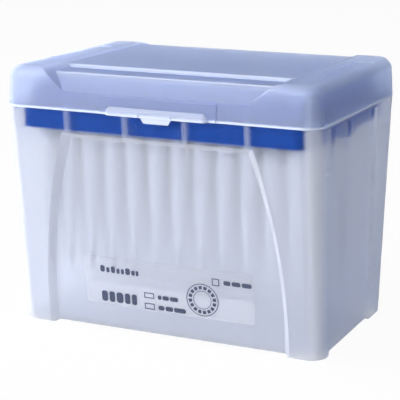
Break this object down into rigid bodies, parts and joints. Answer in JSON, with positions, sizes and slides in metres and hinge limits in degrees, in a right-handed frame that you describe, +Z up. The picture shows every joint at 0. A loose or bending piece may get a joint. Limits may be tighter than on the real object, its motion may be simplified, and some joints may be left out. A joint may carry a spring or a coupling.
{
  "type": "pipette tip box",
  "caption": "Rack box of pipette tips: frosted tub on four feet, well tray, hinged snap lid, tips hanging in their wells.",
  "frame": {"origin": "on the table, under the middle of the whole box", "axes": "+X along the twelve columns of tips, -Y to the latch at the front, +Z up"},
  "size_m": [0.1236, 0.0936, 0.099],
  "materials": {
    "tub_plastic": "frosted natural polypropylene, moulded",
    "lid_plastic": "frosted natural polypropylene, moulded",
    "tray_plastic": "blue polypropylene, moulded, satin",
    "tip_plastic": "natural polypropylene, polished mould",
    "label_film": "clear film label"
  },
  "bodies": {
    "tub": {"base": "tub_plastic", "tray": "tray_plastic", "label": "label_film", "tips_column_01": "tip_plastic", "tips_column_02": "tip_plastic", "tips_column_03": "tip_plastic", "tips_column_04": "tip_plastic", "tips_column_05": "tip_plastic", "tips_column_06": "tip_plastic", "tips_column_07": "tip_plastic", "tips_column_08": "tip_plastic", "tips_column_09": "tip_plastic", "tips_column_10": "tip_plastic", "tips_column_11": "tip_plastic", "tips_column_12": "tip_plastic"},
    "lid": {"lid": "lid_plastic"}
  },
  "joints": [
    {"name": "lid_hinge", "type": "hinge", "parent": "tub", "child": "lid", "pos_m": [0, 0.04462, 0.0842], "axis": [-1, 0, 0], "range_deg": [0, 110]}
  ]
}
